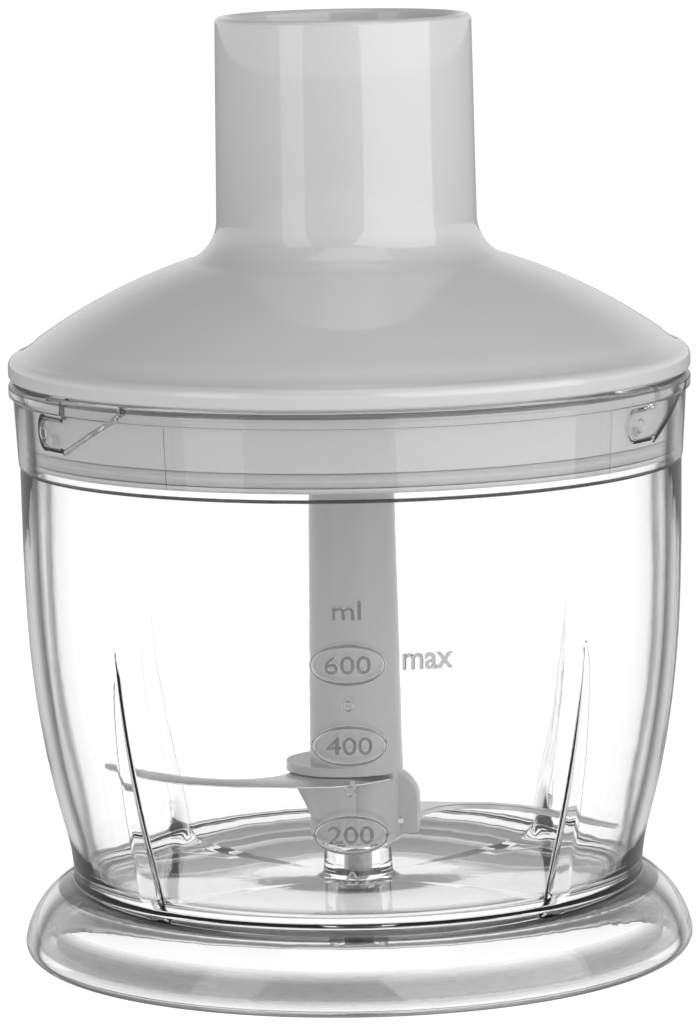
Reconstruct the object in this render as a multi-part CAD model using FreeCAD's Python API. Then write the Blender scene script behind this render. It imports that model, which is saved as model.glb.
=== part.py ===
import FreeCAD, Part
import math
import os

# Chopper bowl of a hand blender: a clear 600 ml bowl with a twist-on lid. The lid carries a
# planetary reduction gear between the motor body above and the blade post below.
# Millimetres, +Z up, origin at the centre of the base, front of the bowl towards -Y.

os.makedirs("parts", exist_ok=True)

V = FreeCAD.Vector
CENTRE = V(0, 0, 0)
UP = V(0, 0, 1)

# ---------------------------------------------------------------- driving dimensions
# bowl
foot_r = 68.2
foot_h = 16.0
waist_r = 58.1
wall = 2.5
floor_z = 16.0
floor_t = 2.6
step_z = 101.0
step_r = 67.3
rim_z = 118.3
band_in_r = 65.4
lip_r = 69.0
lip_z = 115.2
groove_r = 67.0
rib_top_z = 69.0
rib_half_w = 3.2
rib_count = 4

# boss and pin that the blade post turns on
boss_r = 7.2
boss_top_z = 22.6
pin_r = 3.0
pin_bottom_z = 9.6
pin_top_z = 61.6

# bayonet
bayonet_angles = (-152.0, -32.0, 88.0)      # measured from +X, 120 degrees apart
bayonet_slope = 26.0                        # degrees of the entry ramp
pocket_left = -3.5                          # along the wall, from the pocket's centre
hook_at = 7.2
ramp_start = 8.3
lug_z = 109.75
lug_shift = 1.4                             # the lug stands this far along from the pocket centre
lug_r = 1.3
pocket_low_z = 108.1
pocket_high_z = 114.4

# lid
skirt_r = 65.1
skirt_t = 2.2
skirt_low_z = 102.6
base_z = 104.0
base_t = 3.0
flange_r = 69.0
flange_low_z = 118.8
lid_top_z = 190.7
collar_top_r = 25.8
collar_low_r = 26.3
collar_bore_r = 23.4
collar_seat_z = 152.0
well_r = 20.0
deck_z = 139.5
deck_t = 2.5
screw_circle = 28.0
screw_count = 3
screw_r = 1.25

# running fits: radial clearance of a shaft in its hole
running = 0.05

# reduction gear: sun turned by the motor, ring held, carrier turns the blades
module = 0.8
sun_teeth = 15
planet_teeth = 15
ring_teeth = 45
pressure_angle = math.radians(25)
backlash = 0.12
planet_count = 3
gear_low_z = 111.8
gear_high_z = 122.0
planet_pin_r = 2.0
shaft_r = 3.0
input_r = 4.0

# blade unit
post_low_r = 9.7
post_top_r = 8.6
post_low_z = 23.5
post_top_z = 101.5
bore_r = 5.0
lower_bush_z = (24.0, 33.0)
upper_bush_z = (51.0, 60.0)
blade_t = 1.2
blade_turn = 1.2                            # degrees the upper blade's root is turned on the post
upper_blade_z = 35.7
lower_blade_z = 26.4
hub_low_z = 24.7
hub_r = 12.9
bracket_r = 13.6
socket_r = 6.2
dog_engagement = 5.2

planet_orbit = module * (sun_teeth + planet_teeth) / 2.0


# ---------------------------------------------------------------- helpers
class Outline:
    """A closed outline in the XZ plane, radius across and height up, that is turned about Z."""

    def __init__(self, r, z):
        self.start = V(r, 0, z)
        self.here = self.start
        self.edges = []

    def line(self, *points):
        for r, z in points:
            there = V(r, 0, z)
            self.edges.append(Part.makeLine(self.here, there))
            self.here = there
        return self

    def arc(self, middle, end):
        there = V(end[0], 0, end[1])
        self.edges.append(Part.Arc(self.here, V(middle[0], 0, middle[1]), there).toShape())
        self.here = there
        return self

    def curve(self, *points):
        path = [self.here] + [V(r, 0, z) for r, z in points]
        spline = Part.BSplineCurve()
        spline.interpolate(path)
        self.edges.append(spline.toShape())
        self.here = path[-1]
        return self

    def turned(self, degrees=360):
        if self.here.distanceToPoint(self.start) > 1e-6:
            self.edges.append(Part.makeLine(self.here, self.start))
        return Part.Face(Part.Wire(self.edges)).revolve(CENTRE, UP, degrees)


def disc(r, low, high):
    return Part.makeCylinder(r, high - low, V(0, 0, low))


def tube(inner_r, outer_r, low, high):
    return disc(outer_r, low, high).cut(disc(inner_r, low, high))


def cone(low_r, high_r, low, high):
    return Part.makeCone(low_r, high_r, high - low, V(0, 0, low))


def about_z(shape, degrees):
    turned = shape.copy()
    turned.rotate(CENTRE, UP, degrees)
    return turned


def around(shape, count, first=0.0):
    """Copies of a shape, evenly spaced about the Z axis."""
    return [about_z(shape, first + 360.0 * index / count) for index in range(count)]


def sector(inner_r, outer_r, low, high, middle, width):
    """A block of a ring: width degrees wide about the middle angle."""
    block = Outline(inner_r, low).line((outer_r, low), (outer_r, high), (inner_r, high)).turned(width)
    return about_z(block, middle - width / 2.0)


def flat_shape(points, low, high):
    """A straight-sided outline in the XY plane, raised between two heights."""
    path = [V(x, y, low) for x, y in points]
    return Part.Face(Part.makePolygon(path + path[:1])).extrude(V(0, 0, high - low))


def save(name, *shapes):
    """Write one node: a single solid, or several separate ones side by side."""
    shape = shapes[0] if len(shapes) == 1 else Part.makeCompound(list(shapes))
    for solid in shape.Solids:
        if not solid.isValid() or solid.Volume <= 0:
            raise ValueError("bad solid in " + name)
    shape = shape.Solids[0] if len(shape.Solids) == 1 else Part.makeCompound(shape.Solids)
    shape.exportStep("parts/" + name + ".step")
    print("%-20s solids %d  volume %9.1f mm3" % (name, len(shape.Solids), shape.Volume))


# ---------------------------------------------------------------- involute gears
def involute(angle):
    return math.tan(angle) - angle


def gear_points(teeth, addendum, dedendum, thickness):
    """Outline of an involute gear with a tooth on +X. Each flank is five points of the involute
    between the root and the tip, and thickness is the tooth's width on the pitch circle."""
    pitch_r = module * teeth / 2.0
    base_r = pitch_r * math.cos(pressure_angle)
    root_r = pitch_r - dedendum
    tip_r = pitch_r + addendum
    start_r = max(base_r, root_r)
    flank = [start_r + (tip_r - start_r) * step / 4.0 for step in range(5)]
    half = thickness / (2.0 * pitch_r) + involute(pressure_angle)
    spread = [half - involute(math.acos(min(1.0, base_r / r))) for r in flank]
    rising = list(zip(flank, [-angle for angle in spread]))
    falling = list(zip(flank[::-1], spread[::-1]))
    if root_r < base_r:
        rising.insert(0, (root_r, -spread[0]))
        falling.append((root_r, spread[0]))
    points = []
    for tooth in range(teeth):
        middle = 2.0 * math.pi * tooth / teeth
        points += [(r * math.cos(middle + a), r * math.sin(middle + a)) for r, a in rising + falling]
    return points


tooth_width = math.pi * module / 2.0
short_reach = 0.8 * module
long_reach = 1.1 * module


def outer_gear(teeth, low, high):
    points = gear_points(teeth, short_reach, long_reach, tooth_width - backlash)
    return flat_shape(points, low, high)


# ---------------------------------------------------------------- bowl
def bowl_shell():
    """Foot skirt, floor, tapering belly and the band that takes the lid, in one turned outline."""
    under_floor = floor_z - floor_t
    outline = Outline(0, under_floor - 5.0).line((boss_r - 1.6, under_floor - 5.0))
    outline.line((boss_r - 1.2, under_floor), (56.0, under_floor))
    # inside of the foot skirt, its lip, and the rounded outside
    outline.arc((63.0, 9.0), (65.6, 3.6))
    outline.line((65.3, 0.3), (66.4, 0.3))
    outline.arc((67.8, 1.4), (foot_r, 4.0))
    outline.arc((65.1, 10.7), (waist_r, foot_h))
    # belly, step and band
    outline.curve((58.5, 21.0), (60.7, 30.5), (63.9, 46.0), (66.1, 65.0), (66.85, 84.0))
    outline.line((step_r - 0.25, step_z), (step_r, step_z + 0.4), (68.1, lip_z), (lip_r, lip_z + 0.2))
    outline.line((lip_r, rim_z - 0.7), (lip_r - 0.7, rim_z))
    # inside: band, shoulder under the skirt, belly, floor
    outline.line((band_in_r, rim_z), (band_in_r, step_z), (step_r - wall, step_z))
    outline.line((66.85 - wall, 84.0))
    outline.curve((66.1 - wall, 65.0), (63.9 - wall, 46.0), (60.7 - wall, 30.5), (58.3 - wall, 20.0))
    outline.arc((54.6, 17.2), (52.0, floor_z))
    # boss in the middle of the floor
    outline.line((boss_r + 1.0, floor_z), (boss_r, floor_z + 1.0), (boss_r - 0.4, boss_top_z - 0.5))
    outline.line((boss_r - 0.9, boss_top_z), (0, boss_top_z))
    return outline.turned().cut(disc(pin_r, pin_bottom_z, rim_z))


def wall_rib():
    """An upright rib on the inside of the belly: a three-cornered section that fades upwards."""
    def section(apex_r, back_r, half_width, z):
        corners = [V(apex_r, 0, z), V(back_r, half_width, z), V(back_r, -half_width, z)]
        return Part.makePolygon(corners + corners[:1])
    low = section(53.3, 56.8, rib_half_w, floor_z - 0.6)
    middle = section(59.6, 62.6, rib_half_w * 0.55, 46.0)
    high = section(63.6, 64.8, 0.25, rib_top_z)
    return Part.makeLoft([low, middle], True, True).fuse(Part.makeLoft([middle, high], True, True))


def bayonet_groove():
    """The pocket and its entry ramp, cut into the inside of the band. Distances run along the
    wall from the pocket's centre: the lug enters from above and slides down to the left."""
    slope = math.tan(math.radians(bayonet_slope))
    open_z = rim_z + 2.0
    ramp_end = ramp_start + (open_z - pocket_low_z) / slope
    corners = [(pocket_left, pocket_low_z), (ramp_start, pocket_low_z), (ramp_end, open_z),
               (hook_at, open_z), (hook_at, pocket_high_z), (pocket_left, pocket_high_z)]
    mean_r = (band_in_r + groove_r) / 2.0
    path = [V(50.0, mean_r * math.sin(s / mean_r), z) for s, z in corners]
    prism = Part.Face(Part.makePolygon(path + path[:1])).extrude(V(30.0, 0, 0))
    return prism.common(tube(band_in_r - 2.0, groove_r, pocket_low_z - 2.0, open_z))


def foot_ring():
    """The soft ring under the foot, pushed up inside the skirt."""
    outline = Outline(61.8, 0.0).line((64.9, 0.0), (65.1, 0.5), (65.4, 3.4))
    return outline.arc((64.5, 6.0), (62.9, 8.2)).line((61.8, 8.2)).turned()


def centre_pin():
    """Steel pin held in the boss, with a domed end that the blade post rests on."""
    outline = Outline(0, pin_bottom_z).line((pin_r - 0.4, pin_bottom_z), (pin_r, pin_bottom_z + 0.4))
    outline.line((pin_r, pin_top_z - 1.4)).arc((2.6, pin_top_z - 0.4), (1.6, pin_top_z))
    outline.line((0, pin_top_z))
    return outline.turned()


bowl = bowl_shell()
ribs = [about_z(wall_rib(), 45.0 + 90.0 * index) for index in range(rib_count)]
bowl = bowl.fuse(ribs).removeSplitter()
for angle in bayonet_angles:
    bowl = bowl.cut(about_z(bayonet_groove(), angle))
save("bowl", bowl)
save("foot_ring", foot_ring())
save("centre_pin", centre_pin())


# ---------------------------------------------------------------- lid: cover, base and seal
def lid_cover():
    """Collar for the motor body, dome and rounded flange, as one moulded shell."""
    collar_mid_r = (collar_top_r + collar_bore_r) / 2.0
    edge = (collar_top_r - collar_bore_r) / 2.0
    outline = Outline(9.0, deck_z).line((27.0, deck_z), (29.6, deck_z + 0.2))
    outline.arc((47.3, 132.6), (62.6, 123.9))
    outline.line((66.6, 121.5), (66.6, flange_low_z), (flange_r - 0.9, flange_low_z))
    outline.arc((flange_r - 0.25, flange_low_z + 0.3), (flange_r, flange_low_z + 1.0))
    outline.line((flange_r, 121.2)).arc((68.5, 122.7), (67.2, 123.4))
    outline.arc((65.3, 124.5), (63.4, 126.1))
    outline.arc((48.6, 135.0), (33.2, 141.4))
    outline.arc((28.4, 144.3), (collar_low_r, 149.6))
    outline.line((collar_top_r, lid_top_z - edge))
    outline.arc((collar_mid_r, lid_top_z), (collar_bore_r, lid_top_z - edge))
    outline.line((collar_bore_r, collar_seat_z), (well_r, collar_seat_z))
    outline.line((well_r, deck_z + deck_t), (9.0, deck_z + deck_t))
    return outline.turned()


def lid_base():
    """Underside of the lid: floor plate, hub for the output bush, skirt with its seal groove,
    and three bayonet lugs."""
    skirt_in_r = skirt_r - skirt_t
    top = base_z + base_t
    outline = Outline(6.0, base_z + 0.4).line((6.0, top)).line((skirt_in_r - 2.0, top))
    outline.arc((skirt_in_r - 0.6, top + 0.6), (skirt_in_r, top + 2.0))
    outline.line((skirt_in_r, 121.2), (66.6, 121.2), (66.6, 119.2), (skirt_r, 119.2))
    # seal groove near the foot of the skirt
    outline.line((skirt_r, 106.6), (63.3, 106.6), (63.3, 103.6), (skirt_r, 103.6))
    outline.line((skirt_r, skirt_low_z + 0.4), (skirt_r - 0.4, skirt_low_z))
    outline.line((62.4, skirt_low_z), (61.4, base_z), (10.5, base_z), (10.5, skirt_low_z))
    outline.line((7.5, skirt_low_z), (7.5, base_z + 0.4))
    body = outline.turned()
    lug = Part.makeCylinder(lug_r, 66.7 - 63.5, V(63.5, 0, lug_z), V(1, 0, 0))
    shift = math.degrees(lug_shift / skirt_r)
    for angle in bayonet_angles:
        body = body.fuse(about_z(lug, angle + shift))
    screw_hole = Part.makeCylinder(screw_r, 2.6, V(screw_circle, 0, top - 2.4))
    for hole in around(screw_hole, screw_count, 30.0):
        body = body.cut(hole)
    return body.removeSplitter()


def lid_seal():
    """Silicone ring in the skirt's groove, with two soft lips."""
    outline = Outline(63.4, 103.75).line((64.7, 103.75), (65.1, 104.2), (64.7, 104.8))
    outline.line((64.7, 105.4), (65.1, 106.0), (64.7, 106.45), (63.4, 106.45))
    return outline.turned()


save("lid_cover", lid_cover())
save("lid_base", lid_base())
save("lid_seal", lid_seal())

# ---------------------------------------------------------------- gear housing and fixed pieces
base_top = base_z + base_t
ring_outer_r = 22.6
housing_r = 25.0
housing_flange_r = 31.5
flange_top = base_top + 2.5
housing_top = 127.5
bush_top = 132.0


def gear_housing():
    """Inverted cup over the gears, with a screw flange below and a hub for the input bush."""
    outline = Outline(ring_outer_r, base_top).line((housing_flange_r, base_top))
    outline.line((housing_flange_r, flange_top), (housing_r, flange_top))
    outline.line((housing_r, housing_top - 1.0), (housing_r - 1.0, housing_top), (9.5, housing_top))
    outline.line((9.5, bush_top), (6.5, bush_top), (6.5, housing_top - 2.5))
    outline.line((ring_outer_r, housing_top - 2.5))
    body = outline.turned()
    clear_hole = Part.makeCylinder(screw_r + 0.25, 4.0, V(screw_circle, 0, base_top - 0.5))
    for hole in around(clear_hole, screw_count, 30.0):
        body = body.cut(hole)
    return body


def housing_screw():
    """Pan-head screw with a cross recess, modelled on the X axis and then turned into place."""
    top = flange_top + 1.8
    head = Outline(0, flange_top).line((2.7, flange_top), (2.7, flange_top + 0.7))
    head.arc((1.9, top - 0.35), (0.0, top))
    shank = disc(screw_r, base_top - 2.4, flange_top)
    screw = head.turned().fuse(shank)
    for angle in (0, 90):
        slot = Part.makeBox(2.6, 0.6, 1.0, V(-1.3, -0.3, top - 0.9))
        screw = screw.cut(about_z(slot, angle))
    screw.translate(V(screw_circle, 0, 0))
    return screw


def ring_gear():
    """Fixed ring with inward teeth: a disc with a gear-shaped hole whose gap lies on +X."""
    hole = flat_shape(gear_points(ring_teeth, long_reach, short_reach, tooth_width + backlash),
                      gear_low_z - 1.8, gear_high_z + 2.5)
    return disc(ring_outer_r, gear_low_z - 0.8, gear_high_z + 1.5).cut(hole)


save("gear_housing", gear_housing())
save("housing_screws", *around(housing_screw(), screw_count, 30.0))
save("ring_gear", ring_gear())
input_bush = tube(input_r + running, 6.5, housing_top - 2.5, bush_top)
save("input_bush", input_bush.fuse(tube(input_r + running, 7.6, bush_top, bush_top + 0.6)).removeSplitter())
save("output_bush", tube(shaft_r + running, 6.0, base_z + 0.5, base_top + 0.6))
seal_profile = Outline(shaft_r + running, skirt_low_z).line((7.5, skirt_low_z), (7.5, base_z + 0.4))
seal_profile.line((6.2, base_z + 0.4), (5.4, skirt_low_z + 0.9), (shaft_r + running, skirt_low_z + 0.7))
save("shaft_seal", seal_profile.turned())


# ---------------------------------------------------------------- input side
socket_low_z = 134.0
socket_top_z = 150.5
socket_floor_z = 140.8
across_flats = 7.0
corner = across_flats / math.sqrt(3.0)


def drive_socket():
    """Coupling that the motor's spindle drops into: a six-sided socket with a flared mouth."""
    outline = Outline(input_r, socket_low_z).line((7.0, socket_low_z), (8.0, socket_low_z + 1.0))
    outline.line((8.0, 144.5), (7.2, 145.5), (7.2, socket_top_z - 0.6), (6.6, socket_top_z))
    outline.line((0, socket_top_z), (0, socket_floor_z), (input_r, socket_floor_z))
    body = outline.turned()
    turns = [math.radians(60 * side) for side in range(6)]
    hexagon = [(corner * math.cos(turn), corner * math.sin(turn)) for turn in turns]
    body = body.cut(flat_shape(hexagon, socket_floor_z + 1.0, socket_top_z + 1.0))
    body = body.cut(cone(corner - 1.2, corner + 0.8, socket_top_z - 2.0, socket_top_z))
    for groove in around(Part.makeCylinder(0.8, 8.0, V(8.3, 0, socket_low_z + 2.0)), 6):
        body = body.cut(groove)
    return body


sun = outer_gear(sun_teeth, gear_low_z, gear_high_z + 1.2)
save("sun_pinion", sun.fuse(disc(input_r, gear_high_z + 1.2, socket_floor_z)).removeSplitter())
save("drive_socket", drive_socket())
save("input_clip", tube(input_r, 6.2, bush_top + 0.8, bush_top + 1.6).cut(
    Part.makeBox(8.0, 3.4, 3.0, V(0, -1.7, bush_top))))


# ---------------------------------------------------------------- planets and carrier
carrier_low_z = base_top + 1.2
carrier_top_z = gear_low_z - 0.6
carrier_r = 16.6
cover_low_z = gear_high_z + 0.4
cover_top_z = cover_low_z + 0.9


def on_orbit(shape):
    moved = shape.copy()
    moved.translate(V(planet_orbit, 0, 0))
    return moved


def planet_gear():
    """A planet with a tooth pointing outwards into a gap of the ring."""
    gear = outer_gear(planet_teeth, gear_low_z, gear_high_z)
    return on_orbit(gear.cut(disc(planet_pin_r + running, gear_low_z - 1.0, gear_high_z + 1.0)))


def carrier():
    """Round plate with three pin holes and three spacer posts between the planets."""
    plate = disc(carrier_r, carrier_low_z, carrier_top_z)
    plate = plate.fuse([sector(12.3, 15.4, carrier_top_z, cover_low_z, angle, 14.0)
                        for angle in (60.0, 180.0, 300.0)])
    pin_hole = on_orbit(disc(planet_pin_r, carrier_low_z - 1.0, carrier_top_z + 1.0))
    plate = plate.cut(Part.makeCompound(around(pin_hole, planet_count)))
    return plate.cut(disc(shaft_r, carrier_low_z - 1.0, carrier_top_z + 1.0)).removeSplitter()


def carrier_cover():
    plate = tube(7.6, carrier_r, cover_low_z, cover_top_z)
    pin_hole = on_orbit(disc(planet_pin_r, cover_low_z - 1.0, cover_top_z + 1.0))
    return plate.cut(Part.makeCompound(around(pin_hole, planet_count)))


driver_low_z = post_top_z - dog_engagement + 0.5


def output_driver():
    """Two-winged dog under the lid that turns the blade post, with play between the wings."""
    hub = tube(shaft_r, 3.9, driver_low_z, skirt_low_z - 0.5)
    wings = [sector(3.4, 5.9, driver_low_z, post_top_z - 0.5, angle, 50.0) for angle in (0.0, 180.0)]
    return hub.fuse(wings).removeSplitter()


save("carrier", carrier())
save("carrier_cover", carrier_cover())
planet_pin = on_orbit(disc(planet_pin_r, carrier_low_z, cover_top_z))
save("planet_pins", *around(planet_pin, planet_count))
for index, gear in enumerate(around(planet_gear(), planet_count)):
    save("planet_gear_%d" % (index + 1), gear)
save("output_shaft", disc(shaft_r, driver_low_z, carrier_top_z))
save("output_driver", output_driver())


# ---------------------------------------------------------------- blade unit
def blade(low_z):
    """Sickle blade pointing to -X: a swept arm whose root wraps half-way round the post."""
    front = [V(-53.1, 10.8, low_z), V(-43.4, -2.3, low_z), V(-29.7, -11.2, low_z),
             V(-14.0, -14.3, low_z), V(-1.0, -13.4, low_z), V(7.6, -6.2, low_z)]
    back = [V(-13.0, 1.6, low_z), V(-24.4, -4.2, low_z), V(-38.2, 2.7, low_z), V(-51.6, 12.8, low_z)]
    front_edge = Part.BSplineCurve()
    front_edge.interpolate(front)
    back_edge = Part.BSplineCurve()
    back_edge.interpolate(back)
    edges = [front_edge.toShape(), Part.makeLine(front[-1], back[0]), back_edge.toShape(),
             Part.makeLine(back[-1], front[0])]
    plate = Part.Face(Part.Wire(edges)).extrude(V(0, 0, blade_t))
    return plate.cut(disc(bore_r + 1.6, low_z - 1.0, low_z + blade_t + 1.0))


def post():
    """Tapering post with a blind bore for the pin and a dog socket in its top."""
    outline = Outline(bore_r, post_low_z).line((post_low_r - 0.6, post_low_z))
    outline.line((post_low_r, post_low_z + 0.6), (post_top_r, post_top_z - 0.4))
    outline.line((post_top_r - 0.4, post_top_z), (socket_r, post_top_z))
    outline.line((socket_r, post_top_z - dog_engagement), (0, post_top_z - dog_engagement))
    outline.line((0, pin_top_z + 0.3), (bore_r, pin_top_z + 0.3))
    body = outline.turned()
    dogs = [sector(4.3, socket_r + 0.3, post_top_z - dog_engagement - 0.5, post_top_z - 0.5, angle, 50.0)
            for angle in (90.0, 270.0)]
    return body.fuse(dogs).removeSplitter()


def hub():
    """Moulded brackets round the foot of the post that grip the two blades: a collar above the
    upper blade, a cone under its root, and a rounded wing that comes down to the lower blade."""
    blade_top = upper_blade_z + blade_t
    collar = Part.makeCylinder(11.2, 1.9, V(-3.2, 1.4, blade_top))
    bracket = Outline(7.0, 27.6).line((9.6, 27.6), (bracket_r, upper_blade_z), (bracket_r, blade_top))
    bracket = about_z(bracket.line((7.0, blade_top)).turned(170), 100)
    wing = Outline(7.0, hub_low_z).line((hub_r, hub_low_z), (hub_r, 30.2)).arc((11.9, 34.2), (7.0, 36.9))
    wing = about_z(wing.turned(200), -75)
    slope = Part.makeBox(60, 30, 40, V(-30, -34, 5))
    slope.rotate(V(0, -4, 30), V(0, 1, 0), -38)
    slope.translate(V(4.0, 0, -6.0))
    return collar.fuse([bracket, wing.cut(slope)])


upper_blade = about_z(blade(upper_blade_z), blade_turn)
lower_blade = about_z(blade(lower_blade_z), blade_turn + 180)
plain_post = post()
blade_post = plain_post.cut(upper_blade).cut(lower_blade)
blade_hub = hub().cut(cone(post_low_r, post_top_r, post_low_z + 0.6, post_top_z - 0.4))
blade_hub = blade_hub.cut(upper_blade).cut(lower_blade)
save("upper_blade", upper_blade)
save("lower_blade", lower_blade)
save("blade_post", blade_post)
save("blade_hub", blade_hub)
save("lower_bush", tube(pin_r + running, bore_r, *lower_bush_z))
save("upper_bush", tube(pin_r + running, bore_r, *upper_bush_z))
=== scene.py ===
# %% [markdown]
# # A clear chopper bowl and its lid
#
# The bowl of a hand blender's chopper is two mouldings and a blade: a clear bowl on a wide foot, a
# light-grey lid with gears in it, and a grey post that carries two swept blades. Everything that
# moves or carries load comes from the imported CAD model. This script gives it its surfaces: smooth
# walls with rounded edges, ribs, the scale on the front, ground blades and a finish for every piece.
# Distances are in metres, the bowl stands on z = 0, and its front faces -Y.

import math

import bmesh
import bpy
import numpy as np
from mathutils import Matrix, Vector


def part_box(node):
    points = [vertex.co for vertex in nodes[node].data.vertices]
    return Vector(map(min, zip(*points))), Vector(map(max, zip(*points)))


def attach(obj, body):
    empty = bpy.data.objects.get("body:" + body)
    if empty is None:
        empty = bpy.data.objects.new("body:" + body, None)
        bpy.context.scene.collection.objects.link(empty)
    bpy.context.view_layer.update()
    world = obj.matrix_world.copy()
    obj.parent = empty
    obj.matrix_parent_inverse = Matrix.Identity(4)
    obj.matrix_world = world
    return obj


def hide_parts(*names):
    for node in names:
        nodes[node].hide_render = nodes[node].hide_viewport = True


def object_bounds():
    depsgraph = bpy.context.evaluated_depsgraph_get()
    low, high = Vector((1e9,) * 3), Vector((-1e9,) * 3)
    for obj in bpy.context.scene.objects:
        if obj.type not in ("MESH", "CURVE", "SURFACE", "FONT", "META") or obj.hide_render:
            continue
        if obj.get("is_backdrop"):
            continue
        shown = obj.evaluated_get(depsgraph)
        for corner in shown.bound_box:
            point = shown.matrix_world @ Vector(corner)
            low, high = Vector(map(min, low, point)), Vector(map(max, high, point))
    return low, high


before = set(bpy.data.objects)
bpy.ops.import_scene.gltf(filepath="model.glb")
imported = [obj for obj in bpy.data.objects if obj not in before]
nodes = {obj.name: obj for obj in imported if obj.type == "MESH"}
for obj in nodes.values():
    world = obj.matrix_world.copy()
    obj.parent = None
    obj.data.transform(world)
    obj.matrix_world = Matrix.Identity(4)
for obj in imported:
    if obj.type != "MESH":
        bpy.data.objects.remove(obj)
cad_low, cad_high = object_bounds()
print("CAD nodes:", len(nodes), "height:", round(cad_high.z, 4))

# %% [markdown]
# ## Measures that the frame gives
#
# The outlines below are written in millimetres, as on a moulder's drawing, and the levels that they
# hang from are read off the CAD nodes, so that a piece can't drift away from the gears inside it.

# %% Levels and radii
MM = 0.001
bowl_low, bowl_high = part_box("bowl")
cover_low, cover_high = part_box("lid_cover")
rim_z = bowl_high.z / MM
lip_r = bowl_high.x / MM
lid_top_z = cover_high.z / MM
collar_seat_z = 152.0
upper_blade_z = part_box("upper_blade")[0].z / MM
lower_blade_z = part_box("lower_blade")[0].z / MM
blade_t = (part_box("upper_blade")[1].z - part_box("upper_blade")[0].z) / MM
print("rim", round(rim_z, 2), "lip radius", round(lip_r, 2), "blades at", round(upper_blade_z, 2))

# %% [markdown]
# ## Outlines
#
# A turned piece is known by half of its section, a row of (radius, height) points. Straight runs are
# written as points, round ones as an arc through three points, and the belly as a smooth curve, which
# is a cubic spline: each stretch is a cubic in the distance travelled, and neighbours share slope and
# bend. Moulded plastic has no perfectly sharp edge, so the last step rounds every corner a little.
# The round catches the light as a thin line, and without it a render looks like a drawing.

# %% Arc, curve and softened corner
def arc(start, middle, end, count=9):
    """Points on the circle through three points. The centre is as far from all three, which is two
    linear equations, and the angle about it runs evenly from start to end by way of middle."""
    a, b, c = (np.array(p, float) for p in (start, middle, end))
    centre = np.linalg.solve(2 * np.array([b - a, c - a]), [b @ b - a @ a, c @ c - a @ a])
    turn = [math.atan2(*(p - centre)[::-1]) for p in (a, b, c)]
    full = 2 * math.pi
    if not (turn[1] - turn[0]) % full < (turn[2] - turn[0]) % full:
        sweep = (turn[2] - turn[0]) % full - full
    else:
        sweep = (turn[2] - turn[0]) % full
    angle = turn[0] + sweep * np.linspace(0, 1, count)
    return centre + np.linalg.norm(a - centre) * np.stack([np.cos(angle), np.sin(angle)], 1)


def curve(points, count=24):
    """A natural cubic spline. The bend at each point solves the usual three-term equations, and a
    point between two others is the cubic blend of their heights and bends."""
    p = np.array(points, float)
    step = np.linalg.norm(np.diff(p, axis=0), axis=1)
    at = np.concatenate([[0], np.cumsum(step)])
    size = len(p)
    rows = np.eye(size)
    for i in range(1, size - 1):
        rows[i, i - 1:i + 2] = step[i - 1], 2 * (step[i - 1] + step[i]), step[i]
    slope = np.diff(p, axis=0) / step[:, None]
    bend = np.linalg.solve(rows, np.vstack([np.zeros((1, 2)), 6 * np.diff(slope, axis=0), np.zeros((1, 2))]))
    s = np.linspace(0, at[-1], count)
    i = np.clip(np.searchsorted(at, s) - 1, 0, size - 2)
    a, b, h = (at[i + 1] - s)[:, None], (s - at[i])[:, None], step[i][:, None]
    return (bend[i] * a ** 3 + bend[i + 1] * b ** 3) / (6 * h) + (p[i] / h - bend[i] * h / 6) * a + (
        p[i + 1] / h - bend[i + 1] * h / 6) * b


def outline(*runs):
    """Joins points and runs of points into one row, and drops a point that repeats the last."""
    row = np.vstack([np.atleast_2d(np.array(run, float)) for run in runs])
    keep = np.concatenate([[True], np.linalg.norm(np.diff(row, axis=0), axis=1) > 1e-6])
    return row[keep]


def softened(row, radius, count=4, least_turn=18):
    """Rounds each corner that turns by more than least_turn degrees. The round is the parabola
    (1-t)^2 A + 2t(1-t) C + t^2 B, with A and B a short way from the corner C on its two sides."""
    t = np.linspace(0, 1, count)[:, None]
    out = [row[:1]]
    for before, corner, after in zip(row[:-2], row[1:-1], row[2:]):
        back, on = before - corner, after - corner
        reach = min(radius, 0.45 * np.linalg.norm(back), 0.45 * np.linalg.norm(on))
        back, on = back / np.linalg.norm(back), on / np.linalg.norm(on)
        if back @ on < -math.cos(math.radians(least_turn)):
            out.append(corner[None])
        else:
            a, b = corner + back * reach, corner + on * reach
            out.append((1 - t) ** 2 * a + 2 * t * (1 - t) * corner + t ** 2 * b)
    return np.vstack(out + [row[-1:]])


def stepped(row, longest):
    """Adds points on straight runs, so that no step along the outline is longer than longest."""
    pieces = [row[:1]]
    for a, b in zip(row[:-1], row[1:]):
        parts = max(1, math.ceil(np.linalg.norm(b - a) / longest))
        pieces.append(a + (b - a) * np.arange(1, parts + 1)[:, None] / parts)
    return np.vstack(pieces)


print("an arc of", len(arc((1, 0), (0, 1), (-1, 0))), "points")

# %% [markdown]
# ## From a grid to a mesh
#
# Every surface here is a grid of points: rows run along the outline and columns go round the axis.
# Four neighbours make a face. Where a grid closes on itself, at the seam or at a pole, points fall
# on each other, so they are merged and the normals are worked out again to face outwards.

# %% Grid faces and finished pieces
def grid_faces(rows, columns, closed_rows=False, closed_columns=True):
    """Corner numbers of every square of a grid, as one array."""
    i = np.arange(rows if closed_rows else rows - 1)[:, None]
    j = np.arange(columns if closed_columns else columns - 1)[None, :]
    i2, j2 = (i + 1) % rows, (j + 1) % columns
    return np.stack([a * columns + b for a, b in ((i, j), (i, j2), (i2, j2), (i2, j))], -1).reshape(-1, 4)


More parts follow.
